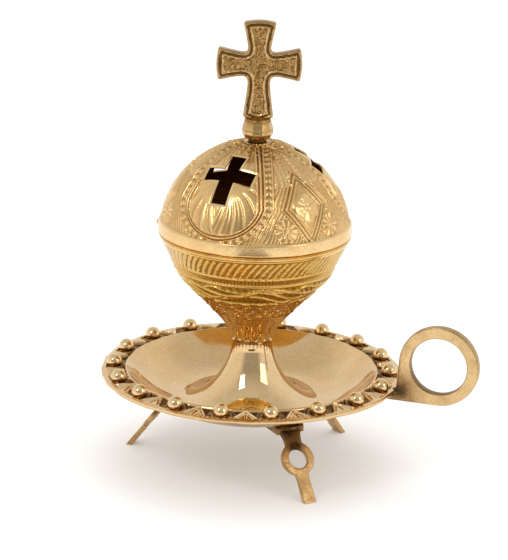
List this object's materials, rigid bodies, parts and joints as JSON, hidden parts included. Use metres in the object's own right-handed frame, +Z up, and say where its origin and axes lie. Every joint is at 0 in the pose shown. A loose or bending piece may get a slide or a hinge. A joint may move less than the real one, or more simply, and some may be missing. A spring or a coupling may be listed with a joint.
{
  "type": "standing hand censer",
  "caption": "Cast brass incense burner: globe lid with pierced crosses hinged on a tapered bowl, over a beaded saucer with splayed feet and a finger ring.",
  "frame": {"origin": "on the floor, at the centre of the object's box; the bowl's vertical axis is 14 mm to the -X side of it", "axes": "+Z up; -Y towards the side that the cross faces; +X towards the finger ring"},
  "size_m": [0.1392, 0.112, 0.1682],
  "materials": {
    "polished_brass": "mirror polished with darkened recesses",
    "satin_brass": "linished satin",
    "cast_brass": "as cast, lightly brushed",
    "chased_brass": "chased relief, highlights polished and hollows darkened",
    "fastener_brass": "turned"
  },
  "bodies": {
    "base": {"saucer": "polished_brass", "handle": "satin_brass", "foot_front": "cast_brass", "foot_right": "cast_brass", "foot_left": "cast_brass", "bowl": "chased_brass", "stem_screw": "fastener_brass", "stem_washer": "fastener_brass", "hinge_pin": "fastener_brass"},
    "lid": {"lid": "chased_brass", "cross_finial": "cast_brass", "finial_washer": "fastener_brass", "finial_nut": "fastener_brass"}
  },
  "joints": [
    {"name": "lid_hinge", "type": "hinge", "parent": "base", "child": "lid", "pos_m": [-0.04772, 0.01109, 0.0897], "axis": [-0.309, -0.9511, 0], "range_deg": [0, 105]}
  ]
}
